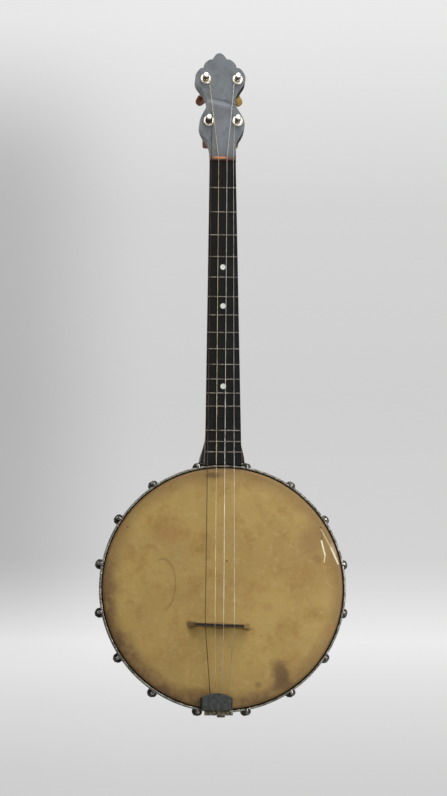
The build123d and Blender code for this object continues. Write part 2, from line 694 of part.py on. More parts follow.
def bridge_strip():
    """Ebony strip on the bridge's top, notched for the four strings."""
    low = BRIDGE_HIGH - STRIP_HIGH + 0.01
    half = BRIDGE_TOP_HALF
    strip = block((-half, half), (low, BRIDGE_HIGH + 0.3), (-STRIP_THICK / 2, STRIP_THICK / 2))
    for _, gauge, _, x, _ in STRINGS:
        slot = gauge / 2 + 0.12
        at = x - BRIDGE_X
        floor = BRIDGE_HIGH - slot - 0.25
        strip -= block((at - slot, at + slot), (floor, BRIDGE_HIGH + 2), (-3, 3))
    return bridge_plane() * strip


def peg_axis_point(across, along, height):
    """A point on a peg's axis, in the banjo's frame."""
    return FACE.from_local_coords(Vector(across, along, height))



def string_line(name, gauge, x_nut, x_bridge, x_tail):
    """One taut string: tail hook, bridge notch, nut slot and peg, as straight runs."""
    peg = PEGS[[row[0] for row in STRINGS].index(name)]
    side = 1 if peg[1] < 0 else -1
    off = side * (POST_R + gauge + gauge / 2 + 0.35)
    skew = radians(BRIDGE_SKEW_DEG)
    bridge_z = BRIDGE_Z - (x_bridge - BRIDGE_X) * tan(skew)
    tail = (x_tail, -66.6, HOOK_Z + 0.9)
    saddle = (x_bridge, HEAD_Y - 0.02 - BRIDGE_HIGH, bridge_z)
    at_nut = BOARD.from_local_coords(Vector(x_nut, NUT_U + NUT_LONG / 2, NUT_HIGH))
    end = peg_axis_point(peg[1] + off, peg[2], WIND_HIGH)
    points = [Vector(*tail), Vector(*saddle), at_nut, end]
    runs = []
    for a, b in zip(points, points[1:]):
        runs.append(rod(tuple(a), tuple(b), gauge / 2))
    whole = runs[0] + runs[1] + runs[2]
    for joint in points[1:3]:
        whole += Pos(*joint) * Sphere(gauge / 2)
    return whole


def winding(gauge, across, along):
    """Turns of string round a post, as a stack of close rings in one sleeve."""
    rings = None
    for k in range(WIND_TURNS):
        level = WIND_HIGH + (k - (WIND_TURNS - 1) / 2) * gauge * 0.96
        ring = Pos(across, along, level) * Torus(POST_R + gauge / 2 - 0.05, gauge / 2)
        rings = ring if rings is None else rings + ring
    core = Pos(across, along, WIND_HIGH) * Cylinder(POST_R + gauge * 0.4, WIND_TURNS * gauge * 0.9)
    rings += core
    return on_face(rings - Pos(across, along, WIND_HIGH) * Cylinder(POST_R + 0.01, 20))


# ----------------------------------------------------------------- pegs

def peg_collar(across, along):
    """Turned collar on the headstock's face."""
    body = Pos(across, along, COLLAR_HIGH / 2 + 0.01) * Cylinder(COLLAR_R, COLLAR_HIGH)
    body = fillet(body.edges().group_by(Axis.Z)[-1], 1.6)
    return on_face(body - Pos(across, along, 0) * Cylinder(POST_R + RUNNING, 20))


def peg_ferrule(across, along):
    """Turned ferrule behind the headstock."""
    top = -HEAD_THICK - 0.01
    low = top - FERRULE_LONG
    profile = Polyline(
        (POST_R + RUNNING, top), (7.0, top), (7.0, top - 2.0), (5.8, top - 3.2),
        (5.2, low + 2.5), (5.8, low + 1.2), (5.8, low), (POST_R + RUNNING, low), close=True,
    )
    return on_face(Pos(across, along, 0) * revolve(Plane.XZ * make_face(profile), Axis.Z))


def peg_shaft(across, along):
    """Steel shaft: the string post in front and a flatted tail in the button."""
    tail = -HEAD_THICK - FERRULE_LONG - BUTTON_GAP - SOCKET
    body = Pos(across, along, (POST_HIGH + tail) / 2) * Cylinder(POST_R, POST_HIGH - tail)
    body = fillet(body.edges().group_by(Axis.Z)[-1], 1.3)
    body -= Pos(across, along, WIND_HIGH + 3.6) * Rot(90, 0, 0) * Cylinder(0.7, 20)
    body -= Pos(across, along, tail) * Cylinder(1.2, 12)
    return on_face(body)


def peg_button(across, along, angle):
    """Oval celluloid button with a waisted neck."""
    top = -HEAD_THICK - FERRULE_LONG - BUTTON_GAP
    oval_at = top - BUTTON_LONG + BUTTON_OVAL
    oval = Ellipse(BUTTON_HALF_WIDE, BUTTON_OVAL)
    paddle = extrude(oval, BUTTON_THICK / 2, both=True)
    paddle = fillet(paddle.edges(), BUTTON_THICK / 2 - 1.0)
    paddle = Pos(0, 0, oval_at) * (Rot(90, 0, 0) * paddle)
    neck_piece = revolve(
        Plane.XZ * make_face(Polyline(
            (0, top), (5.6, top), (5.6, top - 1.5), (4.7, top - 4.5), (4.7, top - 8), (0, top - 8),
            close=True,
        )),
        Axis.Z,
    )
    body = paddle + neck_piece
    body -= Pos(0, 0, top - SOCKET / 2) * Cylinder(POST_R + 0.02, SOCKET + 0.04)
    body -= Pos(0, 0, top - BUTTON_LONG) * Cylinder(1.3, 30)
    body -= Pos(0, 0, top - BUTTON_LONG) * Cylinder(2.6, 3.0)
    return on_face(Pos(across, along, 0) * Rot(0, 0, angle) * body)


def peg_screw(across, along):
    """Small screw that draws the button up on the shaft."""
    end = -HEAD_THICK - FERRULE_LONG - BUTTON_GAP - BUTTON_LONG
    head = Pos(0, 0, end + 0.75) * Cylinder(2.5, 1.4)
    shank = Pos(0, 0, end + 6.5) * Cylinder(1.15, 11.0)
    slot = Pos(0, 0, end) * Box(6, 0.7, 1.2)
    return on_face(Pos(across, along, 0) * (head + shank - slot))


# ---------------------------------------------------------------- write

save("rim", rim())
save("tone_ring", tone_ring())
save("head_skin", head_skin())
save("flesh_hoop", flesh_hoop())
save("tension_hoop", tension_hoop())
save("hooks", round_the_rim(hook()))
save("shoes", round_the_rim(shoe()))
save("shoe_screws", round_the_rim(shoe_screw()))
save("shoe_washers", round_the_rim(shoe_washer()))
save("tension_nuts", round_the_rim(tension_nut()))
save("neck", neck())
save("headstock_veneer", veneer())
save("fingerboard", fingerboard())
save("frets", frets())
save("position_dots", dots())
save("nut", nut())
save("dowel_stick", dowel_stick())
save("neck_brace", neck_brace())
save("brace_wedge", brace_wedge())
save("end_bolt", end_bolt())
save("end_nut", end_nut())
save("tailpiece_frame", tail_base())
save("tailpiece_hinge_pin", hinge_pin())
save("tailpiece_cover", tail_cover())
save("bridge", bridge())
save("bridge_strip", bridge_strip())

for string in STRINGS:
    save(string[0], string_line(*string))

for (peg_name, peg_x, peg_s, button_angle), string in zip(PEGS, STRINGS):
    save(f"peg_collar_{peg_name}", peg_collar(peg_x, peg_s))
    save(f"peg_ferrule_{peg_name}", peg_ferrule(peg_x, peg_s))
    save(f"peg_shaft_{peg_name}", peg_shaft(peg_x, peg_s))
    save(f"peg_button_{peg_name}", peg_button(peg_x, peg_s, button_angle))
    save(f"peg_screw_{peg_name}", peg_screw(peg_x, peg_s))
    save(f"winding_{peg_name}", winding(string[1], peg_x, peg_s))
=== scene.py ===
"""Looks of the open-back banjo: materials, head, strings, studio light and camera.

Everything is in metres in the part's own frame: +Z up the neck, -Y out of the playing face.
"""
import json
from math import cos, pi, radians, sin

import bpy
from mathutils import Matrix, Vector, noise


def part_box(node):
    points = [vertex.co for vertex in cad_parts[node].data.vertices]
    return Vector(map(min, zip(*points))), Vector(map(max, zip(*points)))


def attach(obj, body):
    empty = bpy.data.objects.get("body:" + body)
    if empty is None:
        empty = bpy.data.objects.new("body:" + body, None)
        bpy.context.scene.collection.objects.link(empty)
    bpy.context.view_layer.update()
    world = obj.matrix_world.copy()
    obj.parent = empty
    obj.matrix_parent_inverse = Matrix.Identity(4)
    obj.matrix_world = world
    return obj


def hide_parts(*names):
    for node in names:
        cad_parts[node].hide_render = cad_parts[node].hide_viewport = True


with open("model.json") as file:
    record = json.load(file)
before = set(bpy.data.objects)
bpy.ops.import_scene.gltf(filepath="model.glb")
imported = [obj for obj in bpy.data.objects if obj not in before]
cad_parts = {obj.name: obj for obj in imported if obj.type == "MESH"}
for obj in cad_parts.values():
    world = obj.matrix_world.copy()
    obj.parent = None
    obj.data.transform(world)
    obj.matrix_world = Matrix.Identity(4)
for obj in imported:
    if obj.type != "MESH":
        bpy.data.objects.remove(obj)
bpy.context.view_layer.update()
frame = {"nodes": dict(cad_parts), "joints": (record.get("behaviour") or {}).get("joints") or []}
nodes = frame["nodes"]

MM = 0.001
STRING_NAMES = ("bass", "second", "third", "treble")
PEG_NAMES = ("bass_low", "bass_high", "treble_high", "treble_low")

SHOULDER_FROM, SHOULDER_TO = 133.6 * MM, 135.0 * MM    # radii where the skin turns back
GAP_SHADE_FROM, GAP_SHADE_TO = 136.2 * MM, 136.9 * MM            # radii of the painted shade in the gap by the hoop
DIRT_FROM, DIRT_TO = 121 * MM, 141 * MM                # radii where grime fades in
RING_X, RING_Z = -69, 4                                # faint oval ring on the skin, in mm
RING_HALF_WIDE, RING_HALF_HIGH = 15, 29
POST_SHADE_LOW, POST_SHADE_HIGH = 22 * MM, 31.8 * MM             # painted shade and dark reflection along a peg's post, by its coil
COIL_TURNS = 4.3
RIPPLE_DEEP = 0.22 * MM
FLAT_ROUND_BRIDGE, FLAT_BY_RING = 42 * MM, 18 * MM


# ---------------------------------------------------------------- helpers

def tint(red, green, blue):
    """Linear colour from screen levels of 0 to 255."""
    def linear(level):
        level /= 255
        return level / 12.92 if level <= 0.04045 else ((level + 0.055) / 1.055) ** 2.4
    return (linear(red), linear(green), linear(blue), 1.0)


class Look:
    """A procedural material: one principled shader and the helpers that wire nodes to it."""

    def __init__(self, name, colour, roughness=0.5, metallic=0.0, **sockets):
        self.material = bpy.data.materials.new(name)
        self.material.use_nodes = True
        self.tree = self.material.node_tree
        self.shader = self.tree.nodes["Principled BSDF"]
        self.place = self.node("TexCoord").outputs["Object"]
        self.colour = colour
        self.roughness = roughness
        self.normal = None
        self.shader.inputs["Metallic"].default_value = metallic
        for name, value in sockets.items():
            self.shader.inputs[name.replace("_", " ")].default_value = value

    def node(self, kind, inputs=None, **settings):
        made = self.tree.nodes.new("ShaderNode" + kind)
        for name, value in settings.items():
            setattr(made, name, value)
        for name, value in (inputs or {}).items():
            self.feed(made.inputs[name], value)
        return made

    def feed(self, socket, value):
        """Link a node's output to a socket, or set the socket to a plain value."""
        if isinstance(value, bpy.types.NodeSocket):
            self.tree.links.new(value, socket)
        else:
            socket.default_value = value

    def maths(self, how, first, second=0.0):
        made = self.node("Math", operation=how)
        self.feed(made.inputs[0], first)
        self.feed(made.inputs[1], second)
        return made.outputs[0]

    def vector(self, how, first, second=(0, 0, 0)):
        made = self.node("VectorMath", operation=how)
        self.feed(made.inputs[0], first)
        self.feed(made.inputs[1], second)
        return made.outputs["Value" if how in ("DOT_PRODUCT", "LENGTH") else "Vector"]

    def axis(self, name):
        """One coordinate of the place, in metres."""
        return self.node("SeparateXYZ", {"Vector": self.place}).outputs[name]

    def noise(self, scale, detail=3.0, rough=0.55, stretch=(1, 1, 1), shift=(0, 0, 0), twist=0.0):
        """Noise with a scale per metre, stretched along an axis for grain."""
        where = self.node("Mapping", {"Vector": self.place, "Scale": stretch, "Location": shift})
        made = self.node("TexNoise", {
            "Vector": where.outputs["Vector"], "Scale": scale, "Detail": detail,
            "Roughness": rough, "Distortion": twist,
        })
        return made.outputs["Fac"]

    def band(self, value, low, high, to_low=0.0, to_high=1.0):
        """Smooth step of a value between two levels."""
        made = self.node("MapRange", {
            "Value": value, "From Min": low, "From Max": high, "To Min": to_low, "To Max": to_high,
        }, interpolation_type="SMOOTHSTEP")
        return made.outputs["Result"]

    def paint(self, factor, colour):
        """Lay a colour over what is there, where the factor is high."""
        made = self.node("Mix", data_type="RGBA", blend_type="MIX")
        self.feed(made.inputs[0], factor)
        self.feed(made.inputs[6], self.colour)
        self.feed(made.inputs[7], colour)
        self.colour = made.outputs[2]

    def spot(self, x, z, wide, high, ragged=0.0, shift=(0, 0, 0)):
        """Soft oval mark on a face that looks along Y, with a ragged edge."""
        away = self.vector("SUBTRACT", self.place, (x * MM, 0, z * MM))
        away = self.vector("MULTIPLY", away, (1 / (wide * MM), 0, 1 / (high * MM)))
        reach = self.vector("LENGTH", away)
        if ragged:
            rough = self.noise(160, 4, 0.6, shift=shift)
            reach = self.maths("ADD", reach, self.maths("MULTIPLY", rough, ragged))
            reach = self.maths("SUBTRACT", reach, ragged / 2)
        return self.band(reach, 1.0, 0.25)

    def streak(self, start, end, wide, soft=0.5):
        """Line between two (x, z) points on a face that looks along Y."""
        a = Vector((start[0] * MM, 0, start[1] * MM))
        run = Vector((end[0] * MM, 0, end[1] * MM)) - a
        flat = self.vector("MULTIPLY", self.place, (1, 0, 1))
        away = self.vector("SUBTRACT", flat, tuple(a))
        part = self.vector("DOT_PRODUCT", away, tuple(run / run.length_squared))
        part = self.maths("MAXIMUM", self.maths("MINIMUM", part, 1.0), 0.0)
        along = self.node("VectorMath", operation="SCALE")
        along.inputs[0].default_value = tuple(run)
        self.feed(along.inputs["Scale"], part)
        reach = self.vector("LENGTH", self.vector("SUBTRACT", away, along.outputs["Vector"]))
        return self.band(reach, wide * MM, wide * MM * (1 - soft))

    def bump(self, height, deep, strength=1.0):
        """Relief of a depth in metres, on top of any earlier one."""
        made = self.node("Bump", {"Height": height, "Distance": deep, "Strength": strength})
        if self.normal:
            self.feed(made.inputs["Normal"], self.normal)
        self.normal = made.outputs["Normal"]

    def done(self):
        self.feed(self.shader.inputs["Base Color"], self.colour)
        self.feed(self.shader.inputs["Roughness"], self.roughness)
        if self.normal:
            self.feed(self.shader.inputs["Normal"], self.normal)
        return self.material


def dress(material, *names):
    """Give a material to CAD nodes."""
    for name in names:
        mesh = nodes[name].data
        mesh.materials.clear()
        mesh.materials.append(material)


def piece(name, points, faces, material, body, slot, *stands_for):
    """A new mesh piece that rides on a body and stands for CAD nodes."""
    mesh = bpy.data.meshes.new(name)
    mesh.from_pydata([tuple(p) for p in points], [], faces)
    mesh.materials.append(material)
    mesh.polygons.foreach_set("use_smooth", [True] * len(mesh.polygons))
    mesh.update()
    made = bpy.data.objects.new(name, mesh)
    bpy.context.scene.collection.objects.link(made)
    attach(made, body)
    if stands_for:
        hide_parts(*stands_for)
    return made


def tube(path, radii, sides):
    """Points and faces of a closed tube along a path, with one radius for each path point."""
    points, faces = [], []
    across = None
    for k, (at, radius) in enumerate(zip(path, radii)):
        ahead = (path[min(k + 1, len(path) - 1)] - path[max(k - 1, 0)]).normalized()
        if across is None:
            across = ahead.orthogonal().normalized()
        across = (across - ahead * across.dot(ahead)).normalized()
        other = ahead.cross(across)
        for j in range(sides):
            angle = 2 * pi * j / sides
            points.append(at + (across * cos(angle) + other * sin(angle)) * radius)
    for k in range(len(path) - 1):
        for j in range(sides):
            a, b = k * sides + j, k * sides + (j + 1) % sides
            faces.append((a, b, b + sides, a + sides))
    last = (len(path) - 1) * sides
    faces.append(tuple(range(sides - 1, -1, -1)))
    faces.append(tuple(range(last, last + sides)))
    return points, faces


# -------------------------------------------------------------- materials

def skin_look():
    """Old calfskin: yellow-brown, mottled, and dirty by the hoop, most at the lower bass side."""
    look = Look("calfskin", tint(170, 142, 80), 0.5, Specular_IOR_Level=0.35)
    look.paint(look.band(look.noise(14, 3, 0.5), 0.35, 0.7), tint(157, 129, 72))
    look.paint(look.band(look.noise(40, 5, 0.65, shift=(3, 0, 1)), 0.45, 0.7), tint(153, 121, 63))
    look.paint(look.band(look.noise(420, 4, 0.75, shift=(1, 0, 5)), 0.5, 0.75, 0, 0.5),
               tint(134, 108, 64))
    look.paint(look.band(look.noise(170, 4, 0.7, shift=(5, 0, 3)), 0.5, 0.72, 0, 0.35),
               tint(186, 160, 108))
    from_axis = look.vector("LENGTH", look.vector("MULTIPLY", look.place, (1, 0, 1)))
    waver = look.maths("MULTIPLY", look.noise(30, 4, 0.6, shift=(7, 0, 2)), 16 * MM)
    edge = look.maths("ADD", from_axis, waver)
    look.paint(look.band(edge, 124 * MM, 143 * MM, 0, 0.6), tint(116, 88, 50))
    low_bass = look.vector("DOT_PRODUCT", look.place, (-0.7, 0, -1.0))
    grime = look.band(low_bass, 20 * MM, 120 * MM)
    ragged = look.band(look.noise(75, 4, 0.65, shift=(2, 0, 6)), 0.35, 0.6)
    grime = look.maths("MULTIPLY", grime, look.maths("ADD", look.maths("MULTIPLY", ragged, 0.6), 0.4))
    look.paint(look.maths("MULTIPLY", look.band(edge, DIRT_FROM, DIRT_TO, 0, 0.85), grime),
               tint(86, 62, 38))
    for x, z, wide, high in ((44, 0, 12, 8), (51, -21, 10, 7), (121, -47, 7, 12), (-60, 60, 30, 14)):
        mark = look.maths("MULTIPLY", look.spot(x, z, wide, high, 0.7, (x, 0, z)), 0.4)
        look.paint(mark, tint(156, 112, 64))
    return look, from_axis


def head_marks(look):
    """Stains, fly spots, the bridge's foot marks, a faint ring and the treble side's tear, with
    painted shadows of the stand and the board's end, painted shade by the tear and painted highlights
    on the tear's edges and the crease.
    """
    # Ovals: centre, half width and half height in mm, strength, colour.
    for x, z, wide, high, depth, colour in (
        # Painted shadow of the stand's arm: a dark blotch at the lower treble side, in three ovals.
        (66, -97, 15, 19, 0.75, (80, 54, 32)),
        (60, -86, 12, 9, 0.3, (104, 74, 44)),
        (70, -110, 18, 10, 0.5, (80, 54, 32)),
        # Painted shade of the dented skin beside the tear.
        (100, 54, 20, 26, 0.5, (132, 102, 58)),
        (39.8, -109, 6, 5, 0.45, (96, 66, 38)),
        (-30, -118, 26, 9, 0.4, (92, 64, 40)),
        # Painted shadow of the board's end on the skin.
        (-11, 128, 15, 5, 0.6, (70, 52, 34)),
        (108, 33, 8, 9, 0.45, (120, 84, 48)),
        (30.1, -46, 5, 3, 0.5, (84, 58, 34)),
        (-38.5, -41, 5, 3, 0.5, (84, 58, 34)),
        (4.5, 30.6, 2.2, 1.8, 0.8, (112, 56, 26)),
        (43.2, -54, 1.6, 1.3, 0.8, (112, 56, 26)),
        (-108.6, 68.6, 1.8, 1.4, 0.8, (96, 56, 28)),
        (79.7, 50.3, 1.6, 1.3, 0.7, (112, 66, 30)),
    ):
        mark = look.maths("MULTIPLY", look.spot(x, z, wide, high, 0.7, (x, 0, z)), depth)
        look.paint(mark, tint(*colour))
    # The tear's dark and curled pale edges, and the crease beside it: ends and width in mm. The pale
    # edges are pale skin with a painted highlight on them, and the crease's pale line is a painted
    # highlight along the bent skin.
    for start, end, wide, depth, colour in (
        ((111.2, 69), (112.9, 63), 1.6, 0.9, (62, 38, 22)),
        ((112.9, 63), (112.3, 54), 1.1, 0.6, (96, 62, 34)),
        ((112.3, 54), (114, 47), 1.3, 0.95, (240, 232, 212)),
        ((114, 47), (116.3, 38), 1.3, 0.9, (240, 230, 208)),
        ((116.3, 38), (115.3, 30), 1.1, 0.8, (230, 214, 180)),
        ((111.5, 67.5), (123.2, 46), 1.3, 0.7, (206, 184, 144)),
        ((125, 50), (128, 40), 3.2, 0.45, (196, 182, 150)),
        ((123.2, 46), (131.3, 28), 1.5, 0.9, (238, 226, 200)),
    ):
        look.paint(look.maths("MULTIPLY", look.streak(start, end, wide, 0.8), depth), tint(*colour))
    aside = look.vector("SUBTRACT", look.place, (RING_X * MM, 0, RING_Z * MM))
    squash = (1 / (RING_HALF_WIDE * MM), 0, 1 / (RING_HALF_HIGH * MM))
    oval = look.vector("MULTIPLY", aside, squash)
    off_line = look.maths("ABSOLUTE", look.maths("SUBTRACT", look.vector("LENGTH", oval), 1.0))
    treble_part = look.band(look.vector("DOT_PRODUCT", aside, (1, 0, 0.15)), -8 * MM, 6 * MM)
    arc = look.maths("MULTIPLY", look.band(off_line, 0, 0.11, 0.4, 0), treble_part)
    look.paint(arc, tint(104, 82, 50))


def head_material():
    """The skin's look with its marks, its browner shoulder and painted shade in the gap by the hoop.
    """
    look, from_axis = skin_look()
    head_marks(look)
    shoulder = look.band(from_axis, SHOULDER_FROM, SHOULDER_TO)
    look.paint(look.maths("MULTIPLY", shoulder, 0.5), tint(120, 92, 58))
    # Painted shade: the skin darkens where it meets the gap by the hoop.
    look.paint(look.band(from_axis, GAP_SHADE_FROM, GAP_SHADE_TO, 0, 0.9), tint(56, 42, 26))
    look.bump(look.noise(900, 4, 0.7), 0.05 * MM, 0.5)
    look.bump(look.noise(90, 3, 0.5), 0.2 * MM, 0.5)
    look.roughness = look.band(look.noise(30, 3, 0.6, shift=(2, 0, 9)), 0.3, 0.7, 0.42, 0.6)
    return look.done()


def metal(name, clean, tarnish, low, high, roughness=0.3, pits=0.06, cover=0.8):
    """Plated metal with patches of tarnish that are also duller."""
    look = Look(name, clean, roughness, 1.0)
    cloud = look.noise(220, 5, 0.65)
    spots = look.noise(1100, 3, 0.6, shift=(4, 2, 1))
    amount = look.maths("ADD", look.maths("MULTIPLY", cloud, 0.7), look.maths("MULTIPLY", spots, 0.3))
    look.paint(look.band(amount, low, high, 0, cover), tarnish)
    look.roughness = look.band(amount, low, high, roughness, roughness + 0.25)
    look.bump(spots, pits * MM, 0.35)
    return look.done()


def wood(name, dark, light, grain=(1, 1, 0.06), scale=900, roughness=0.45, deep=0.05, shine=0.5):
    """Wood with grain along one axis, soft figure and open pores."""
    look = Look(name, dark, roughness, Specular_IOR_Level=shine)
    figure = look.noise(scale * 0.12, 3, 0.5, stretch=grain)
    fine = look.noise(scale, 4, 0.65, stretch=grain, shift=(2, 5, 1))
    look.paint(look.band(figure, 0.3, 0.75), light)
    look.paint(look.band(fine, 0.5, 0.72, 0, 0.5), dark)
    look.bump(fine, deep * MM, 0.5)
    look.roughness = look.band(figure, 0.3, 0.7, roughness - 0.06, roughness + 0.12)
    return look


def board_material():
    """Ebonised board: near black, rubbed brown-grey where fingers and strings have worn it."""
    look = wood("ebonised_board", tint(15, 15, 16), tint(24, 24, 25), roughness=0.6, deep=0.04,
                shine=0.12)
    worn = look.band(look.noise(60, 4, 0.6, stretch=(1.6, 1, 0.7), shift=(5, 1, 2)), 0.5, 0.75, 0, 0.5)
    look.paint(worn, tint(34, 33, 32))
    dust = look.band(look.noise(500, 3, 0.7, shift=(1, 3, 2)), 0.62, 0.8, 0, 0.35)
    look.paint(dust, tint(60, 58, 57))
    return look.done()


def headstock_material():
    """Black facing painted blue-grey as a painted reflection of the bright light above, with rubbed
    patches, specks of dust, a few scratches and painted shade along its lower edge.
    """
    # The blue-grey base is a painted reflection of the light above on the black facing.
    look = wood("headstock_face", tint(98, 103, 107), tint(117, 122, 127), roughness=0.6,
                scale=700, deep=0.03, shine=0.35)
    look.paint(look.band(look.noise(70, 5, 0.65, shift=(3, 1, 8)), 0.45, 0.7, 0, 0.8),
               tint(86, 90, 93))
    look.paint(look.band(look.noise(1500, 3, 0.7, shift=(6, 2, 4)), 0.6, 0.85, 0, 0.6),
               tint(150, 153, 157))
    look.paint(look.band(look.noise(260, 4, 0.7, shift=(9, 1, 4)), 0.55, 0.75, 0, 0.4),
               tint(88, 82, 78))
    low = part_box("headstock_veneer")[0].z / MM
    for start, end, wide, depth, colour in (
        ((-15, 70), (8, 64.5), 3.4, 0.6, (142, 145, 152)),
        ((-14, 62.5), (9, 58.5), 1.1, 0.45, (96, 82, 72)),
        ((-14, 74.5), (4, 70.5), 1.2, 0.8, (66, 68, 72)),
        ((4, 70.5), (17, 65.5), 1.2, 0.7, (70, 70, 72)),
        ((-10, 112), (-9, 117), 0.9, 0.5, (70, 70, 74)),
    ):
        line = look.streak((start[0], low + start[1]), (end[0], low + end[1]), wide, 0.8)
        look.paint(look.maths("MULTIPLY", line, depth), tint(*colour))
    # Painted shade: the face darkens over its lowest 14 mm, towards the nut.
    look.paint(look.band(look.axis("Z"), (low + 14) * MM, low * MM, 0, 0.4), tint(62, 60, 60))
    return look.done()


def pearl_material():
    """Mother of pearl: pale, with faint green and pink clouds."""
    look = Look("pearl", tint(222, 222, 214), 0.22, Coat_Weight=0.6, Coat_Roughness=0.08)
    look.paint(look.band(look.noise(700, 3, 0.5, twist=1.5), 0.45, 0.62), tint(200, 216, 208))
    look.paint(look.band(look.noise(600, 3, 0.5, shift=(4, 4, 4), twist=2.0), 0.5, 0.66, 0, 0.7),
               tint(226, 205, 208))
    look.bump(look.noise(900, 2, 0.5, twist=1.0), 0.02 * MM, 0.4)
    return look.done()


def nut_material():
    """Brown wooden nut, lighter orange on top near the middle: worn wood with a painted highlight."""
    look = wood("nut_wood", tint(74, 44, 27), tint(112, 66, 38), grain=(0.06, 1, 1), roughness=0.45)
    low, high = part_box("nut")
    middle = (low.z + high.z) / 2 / MM
    # Worn wood and a painted highlight along the nut's top.
    look.paint(look.maths("MULTIPLY", look.spot(-3.5, middle + 1.4, 12, 2.6, 0.6), 0.9),
               tint(190, 118, 62))
    return look.done()


def bridge_material():
    """Waxed maple bridge with darker dirty patches."""
    look = wood("bridge_maple", tint(104, 80, 42), tint(136, 108, 58), grain=(0.08, 1, 1),
                roughness=0.4, deep=0.03)
    look.paint(look.band(look.noise(260, 4, 0.6), 0.52, 0.75, 0, 0.6), tint(84, 52, 28))
    return look.done()


def celluloid_material(name, inner, outer):
    """Amber celluloid button: warm and slightly clear, darker in cloudy streaks."""
    look = Look(name, inner, 0.22, Subsurface_Weight=0.35, Subsurface_Scale=0.004,
                Coat_Weight=0.5, Coat_Roughness=0.12, IOR=1.5)
    look.shader.inputs["Subsurface Radius"].default_value = (1.0, 0.45, 0.12)
    look.paint(look.band(look.noise(150, 4, 0.6, twist=0.8), 0.42, 0.68), outer)
    look.paint(look.band(look.noise(900, 3, 0.7, shift=(2, 7, 3)), 0.62, 0.82, 0, 0.5),
               tint(88, 48, 16))
    look.bump(look.noise(1200, 3, 0.6), 0.02 * MM, 0.4)
    return look.done()


def string_material(name, clean, dull, roughness=0.35):
    """String metal with dull and bright stretches."""
    look = Look(name, clean, roughness, 1.0)
    look.paint(look.band(look.noise(60, 5, 0.7, shift=(1, 1, 3)), 0.4, 0.7, 0, 0.85), dull)
    look.bump(look.noise(3000, 2, 0.5), 0.01 * MM, 0.3)
    return look.done()


def dress_pot():
    """Rim, tone ring, hoops, hooks and shoes."""
    rim = wood("maple_dark", tint(92, 55, 30), tint(128, 82, 46), grain=(1, 0.12, 1),
               roughness=0.38, scale=600)
    rim.paint(rim.band(rim.noise(90, 4, 0.6, shift=(4, 4, 4)), 0.55, 0.8, 0, 0.5), tint(60, 36, 22))
    dress(rim.done(), "rim", "brace_wedge")
    brass = metal("brass", tint(176, 148, 92), tint(112, 84, 50), 0.4, 0.62, 0.34)
    dress(brass, "tone_ring", "flesh_hoop", "neck_brace")
    nickel = metal("nickel", tint(176, 172, 164), tint(84, 78, 70), 0.42, 0.62, 0.26, 0.05)
    dress(nickel, "hooks", "tension_nuts", "end_nut")
    hoop = metal("hoop_nickel", tint(176, 174, 164), tint(66, 60, 50), 0.38, 0.6, 0.36, 0.03, 0.85)
    dress(hoop, "tension_hoop")
    shoe = metal("shoe_nickel", tint(150, 146, 138), tint(52, 48, 42), 0.34, 0.56, 0.34, 0.08, 0.9)
    dress(shoe, "shoes")
    steel = metal("steel", tint(140, 136, 130), tint(88, 70, 56), 0.42, 0.64, 0.4)
    dress(steel, "shoe_screws", "shoe_washers", "end_bolt")


def dress_neck():
    """Neck, board, frets, dots, nut and headstock facing."""
    side = wood("ebonised_wood", tint(40, 35, 33), tint(58, 51, 47), roughness=0.42, deep=0.03)
    side.paint(side.band(side.noise(110, 4, 0.6, shift=(1, 8, 1)), 0.58, 0.8, 0, 0.5),
               tint(92, 72, 58))
    dress(side.done(), "neck")
    dress(board_material(), "fingerboard")
    dress(headstock_material(), "headstock_veneer")
    dress(metal("fret_wire", tint(132, 126, 114), tint(76, 70, 62), 0.4, 0.62, 0.42), "frets")
    dress(pearl_material(), "position_dots")
    dress(nut_material(), "nut")
    stick = wood("maple", tint(142, 100, 58), tint(176, 132, 84), roughness=0.45, scale=700)
    dress(stick.done(), "dowel_stick")


def dress_bridge_and_tail():
    """Bridge, its ebony strip and the tailpiece."""
    dress(bridge_material(), "bridge")
    dress(wood("ebony", tint(20, 17, 16), tint(36, 30, 27), grain=(0.08, 1, 1)).done(),
          "bridge_strip")
    cover = metal("tail_nickel", tint(106, 110, 108), tint(54, 57, 56), 0.34, 0.58, 0.36, 0.03)
    dress(cover, "tailpiece_cover", "tailpiece_hinge_pin")
    base = metal("bar_nickel", tint(176, 168, 146), tint(96, 88, 70), 0.36, 0.6, 0.5, 0.04)
    dress(base, "tailpiece_frame")


def post_material():
    """Nickelled post with a bright end; its middle is painted dark brown as painted shade of the coil
    and a painted dark reflection.
    """
    look = Look("post_nickel", tint(240, 236, 226), 0.35, 1.0)
    joint = next(j for j in frame["joints"] if j["name"] == "turn_" + PEG_NAMES[0])
    away = look.vector("SUBTRACT", look.place, tuple(joint["pos_m"]))
    height = look.vector("DOT_PRODUCT", away, tuple(joint["axis"]))
    # Painted shade and painted dark reflection: the post darkens between these heights.
    brown = look.maths("MULTIPLY", look.band(height, POST_SHADE_LOW, POST_SHADE_LOW + 1 * MM),
                       look.band(height, POST_SHADE_HIGH, POST_SHADE_HIGH - 0.8 * MM))
    look.paint(look.maths("MULTIPLY", brown, 0.85), tint(84, 64, 46))
    look.roughness = look.band(brown, 0, 1, 0.35, 0.5)
    return look.done()


def dress_pegs():
    """Collars, ferrules, shafts, screws and the amber buttons."""
    bright = metal("peg_nickel", tint(238, 232, 218), tint(176, 166, 148), 0.5, 0.72, 0.42, 0.0)
    screw = metal("peg_screw_steel", tint(150, 146, 138), tint(90, 76, 60), 0.42, 0.64, 0.35)
    amber = celluloid_material("celluloid", tint(158, 92, 40), tint(112, 62, 26))
    pale = celluloid_material("celluloid_pale", tint(192, 156, 78), tint(160, 120, 50))
    post_metal = post_material()
    for name in PEG_NAMES:
        dress(bright, "peg_collar_" + name, "peg_ferrule_" + name)
        dress(post_metal, "peg_shaft_" + name)
        dress(screw, "peg_screw_" + name)
        dress(pale if name.startswith("treble") else amber, "peg_button_" + name)


# -------------------------------------------------------------------- head

